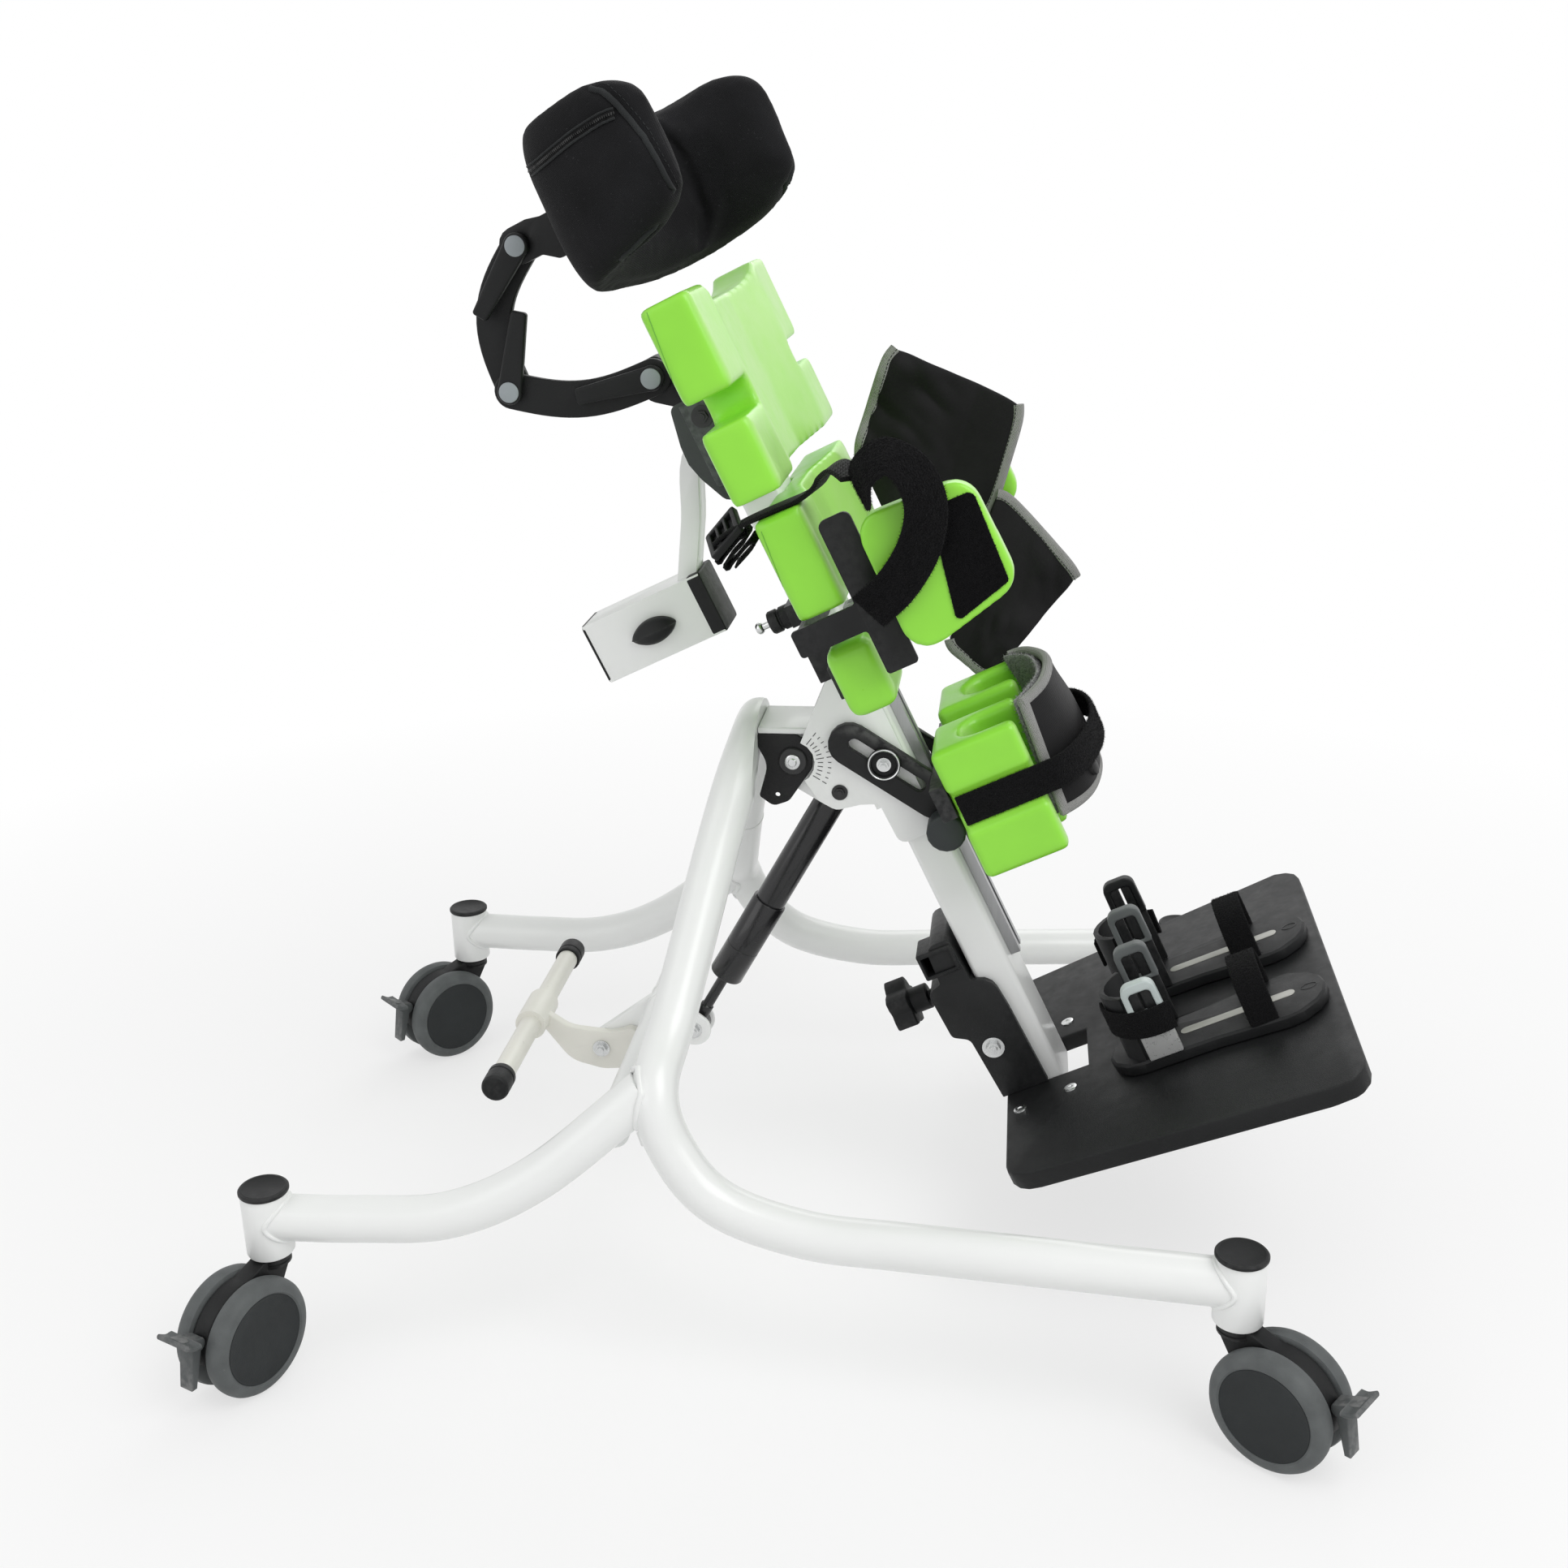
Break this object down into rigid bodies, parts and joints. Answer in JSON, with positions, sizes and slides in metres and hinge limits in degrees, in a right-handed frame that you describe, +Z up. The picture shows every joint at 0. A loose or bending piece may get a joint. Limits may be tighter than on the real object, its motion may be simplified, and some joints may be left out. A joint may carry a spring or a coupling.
{
  "type": "pediatric standing frame",
  "caption": "Tilting mast with moulded pads, head support, knee pads and footplate on a four-caster tube base; holds a child standing or reclined while strapped in.",
  "frame": {"origin": "on the floor, in the middle of the object's footprint", "axes": "+X towards the toes, +Y to the far side in the picture, +Z up"},
  "size_m": [0.9684, 0.7747, 1.0032],
  "materials": {
    "white_paint": "gloss",
    "black_metal": "satin",
    "black_gloss": "gloss",
    "dark_grey": "satin",
    "steel": "satin",
    "aluminium": "satin",
    "grey_plastic": "matte",
    "black_plastic": "satin",
    "grey_tyre": "matte",
    "green_foam": "satin",
    "black_fabric": "matte"
  },
  "bodies": {
    "base": {"base_frame": "white_paint", "rear_leg_near": "white_paint", "rear_leg_far": "white_paint", "cross_member": "white_paint", "pivot_plate_near": "black_metal", "pivot_plate_far": "black_metal", "yoke": "white_paint", "pivot_pin": "steel"},
    "pedal": {"foot_pedal": "white_paint"},
    "caster_near_rear": {"caster_housing_near_rear": "black_plastic"},
    "wheels_near_rear": {"caster_wheels_near_rear": "grey_tyre"},
    "brake_near_rear": {"brake_pedal_near_rear": "grey_plastic"},
    "caster_near_front": {"caster_housing_near_front": "black_plastic"},
    "wheels_near_front": {"caster_wheels_near_front": "grey_tyre"},
    "brake_near_front": {"brake_pedal_near_front": "grey_plastic"},
    "caster_far_rear": {"caster_housing_far_rear": "black_plastic"},
    "wheels_far_rear": {"caster_wheels_far_rear": "grey_tyre"},
    "brake_far_rear": {"brake_pedal_far_rear": "grey_plastic"},
    "caster_far_front": {"caster_housing_far_front": "black_plastic"},
    "wheels_far_front": {"caster_wheels_far_front": "grey_tyre"},
    "brake_far_front": {"brake_pedal_far_front": "grey_plastic"},
    "mast": {"mast": "white_paint", "front_rail": "aluminium", "pivot_head": "white_paint", "thigh_bracket": "black_metal", "thigh_pad_near": "green_foam", "thigh_pad_far": "green_foam", "head_clamp": "black_metal", "socket": "white_paint"},
    "strut": {"strut_cylinder": "black_gloss"},
    "strut_rod": {"strut_rod": "steel"},
    "trunk": {"trunk_pad": "green_foam", "trunk_bracket": "dark_grey"},
    "hip": {"hip_bracket": "black_metal", "hip_pad": "green_foam", "side_panel_near": "green_foam", "side_panel_far": "green_foam", "belt_upper": "black_fabric", "belt_lower": "black_fabric", "loop_strap": "black_fabric"},
    "head_lower": {"head_link_lower": "black_metal"},
    "head_upper": {"head_link_upper": "black_metal"},
    "head": {"head_mount": "black_metal", "head_cushion": "black_fabric"},
    "lever_c": {"head_lever_c": "black_plastic"},
    "lever_b": {"head_lever_b": "black_plastic"},
    "lever_a": {"head_lever_a": "black_plastic"},
    "socket_knob": {"socket_knob": "black_plastic"},
    "knee": {"knee_frame": "black_metal", "knee_pad_near": "green_foam", "knee_pad_far": "green_foam", "knee_strap": "black_fabric"},
    "knee_knob": {"knee_knob": "grey_plastic"},
    "foot": {"footplate": "black_plastic", "foot_bracket": "black_metal", "sandal_near": "black_plastic", "sandal_far": "black_plastic", "toe_strap_near": "black_fabric", "toe_strap_far": "black_fabric"},
    "foot_knob": {"foot_knob": "black_plastic"}
  },
  "joints": [
    {"name": "mast_tilt", "type": "hinge", "parent": "base", "child": "mast", "pos_m": [0.0105, 0.00533, 0.4505], "axis": [0, -1, 0], "range_deg": [-10, 55]},
    {"name": "strut_swing", "type": "hinge", "parent": "mast", "child": "strut", "pos_m": [0.05131, 0.00533, 0.42451], "axis": [0, -1, 0], "range_deg": [-52.3, 9.6]},
    {"name": "rod_slide", "type": "slide", "parent": "strut", "child": "strut_rod", "axis": [-0.4971, 0, -0.8677], "range_m": [-0.0078, 0.0428]},
    {"name": "pedal_press", "type": "hinge", "parent": "base", "child": "pedal", "pos_m": [-0.1805, 0.00533, 0.152], "axis": [0, -1, 0], "range_deg": [0, 12], "stiffness_Nm_per_rad": 4, "springref_deg": -8.59},
    {"name": "swivel_near_rear", "type": "hinge", "parent": "base", "child": "caster_near_rear", "pos_m": [-0.3985, -0.28167, 0.1], "axis": [0, 0, 1], "continuous": true},
    {"name": "roll_near_rear", "type": "hinge", "parent": "caster_near_rear", "child": "wheels_near_rear", "pos_m": [-0.41464, -0.31827, 0.04938], "axis": [0.915, -0.4035, 0], "continuous": true},
    {"name": "brake_press_near_rear", "type": "hinge", "parent": "caster_near_rear", "child": "brake_near_rear", "pos_m": [-0.43421, -0.36264, 0.06898], "axis": [0.915, -0.4035, 0], "range_deg": [0, 12]},
    {"name": "swivel_near_front", "type": "hinge", "parent": "base", "child": "caster_near_front", "pos_m": [0.3775, -0.29967, 0.1], "axis": [0, 0, 1], "continuous": true},
    {"name": "roll_near_front", "type": "hinge", "parent": "caster_near_front", "child": "wheels_near_front", "pos_m": [0.41006, -0.3229, 0.04938], "axis": [0.5807, 0.8141, 0], "continuous": true},
    {"name": "brake_press_near_front", "type": "hinge", "parent": "caster_near_front", "child": "brake_near_front", "pos_m": [0.44954, -0.35106, 0.06898], "axis": [0.5807, 0.8141, 0], "range_deg": [0, 12]},
    {"name": "swivel_far_rear", "type": "hinge", "parent": "base", "child": "caster_far_rear", "pos_m": [-0.3985, 0.29233, 0.1], "axis": [0, 0, 1], "continuous": true},
    {"name": "roll_far_rear", "type": "hinge", "parent": "caster_far_rear", "child": "wheels_far_rear", "pos_m": [-0.42542, 0.26274, 0.04938], "axis": [0.7396, -0.673, 0], "continuous": true},
    {"name": "brake_press_far_rear", "type": "hinge", "parent": "caster_far_rear", "child": "brake_far_rear", "pos_m": [-0.45806, 0.22688, 0.06898], "axis": [0.7396, -0.673, 0], "range_deg": [0, 12]},
    {"name": "swivel_far_front", "type": "hinge", "parent": "base", "child": "caster_far_front", "pos_m": [0.3775, 0.31033, 0.1], "axis": [0, 0, 1], "continuous": true},
    {"name": "roll_far_front", "type": "hinge", "parent": "caster_far_front", "child": "wheels_far_front", "pos_m": [0.41026, 0.33327, 0.04938], "axis": [-0.5736, 0.8192, 0], "continuous": true},
    {"name": "brake_press_far_front", "type": "hinge", "parent": "caster_far_front", "child": "brake_far_front", "pos_m": [0.44999, 0.36108, 0.06898], "axis": [-0.5736, 0.8192, 0], "range_deg": [0, 12]},
    {"name": "trunk_slide", "type": "slide", "parent": "mast", "child": "trunk", "axis": [-0.4226, 0, 0.9063], "range_m": [-0.016, 0.0015]},
    {"name": "hip_slide", "type": "slide", "parent": "mast", "child": "hip", "axis": [-0.4226, 0, 0.9063], "range_m": [-0.018, 0.016]},
    {"name": "head_turn_c", "type": "hinge", "parent": "mast", "child": "head_lower", "pos_m": [-0.10009, 0.00533, 0.77474], "axis": [0, -1, 0], "range_deg": [0, 25]},
    {"name": "head_turn_b", "type": "hinge", "parent": "head_lower", "child": "head_upper", "pos_m": [-0.21938, 0.00533, 0.76436], "axis": [0, -1, 0], "range_deg": [0, 20]},
    {"name": "head_turn_a", "type": "hinge", "parent": "head_upper", "child": "head", "pos_m": [-0.20594, 0.00533, 0.87986], "axis": [0, -1, 0], "range_deg": [-3, 8]},
    {"name": "lever_turn_c", "type": "hinge", "parent": "head_lower", "child": "lever_c", "pos_m": [-0.10009, -0.0202, 0.77474], "axis": [0, -1, 0], "range_deg": [-40, 30]},
    {"name": "lever_turn_b", "type": "hinge", "parent": "head_upper", "child": "lever_b", "pos_m": [-0.21938, -0.0202, 0.76436], "axis": [0, -1, 0], "range_deg": [-40, 0]},
    {"name": "lever_turn_a", "type": "hinge", "parent": "head", "child": "lever_a", "pos_m": [-0.20594, -0.0202, 0.87986], "axis": [0, -1, 0], "range_deg": [-40, 0]},
    {"name": "socket_knob_turn", "type": "hinge", "parent": "mast", "child": "socket_knob", "pos_m": [-0.10674, -0.02297, 0.56421], "axis": [0, 1, 0], "continuous": true},
    {"name": "knee_slide", "type": "slide", "parent": "mast", "child": "knee", "axis": [0.8427, 0, -0.5385], "range_m": [-0.005, 0.024]},
    {"name": "knee_knob_turn", "type": "hinge", "parent": "knee", "child": "knee_knob", "pos_m": [0.14422, -0.04107, 0.39987], "axis": [0, 1, 0], "continuous": true},
    {"name": "foot_slide", "type": "slide", "parent": "mast", "child": "foot", "axis": [-0.4226, 0, 0.9063], "range_m": [-0.01, 0.08]},
    {"name": "foot_knob_turn", "type": "hinge", "parent": "foot", "child": "foot_knob", "pos_m": [0.17468, 0.00533, 0.23753], "axis": [0.9063, 0, 0.4226], "continuous": true}
  ],
  "couplings": [
    {"joint": "strut_swing", "follows": "mast_tilt", "ratio": -0.9499},
    {"joint": "rod_slide", "follows": "mast_tilt", "m_per_rad": 0.04455}
  ]
}
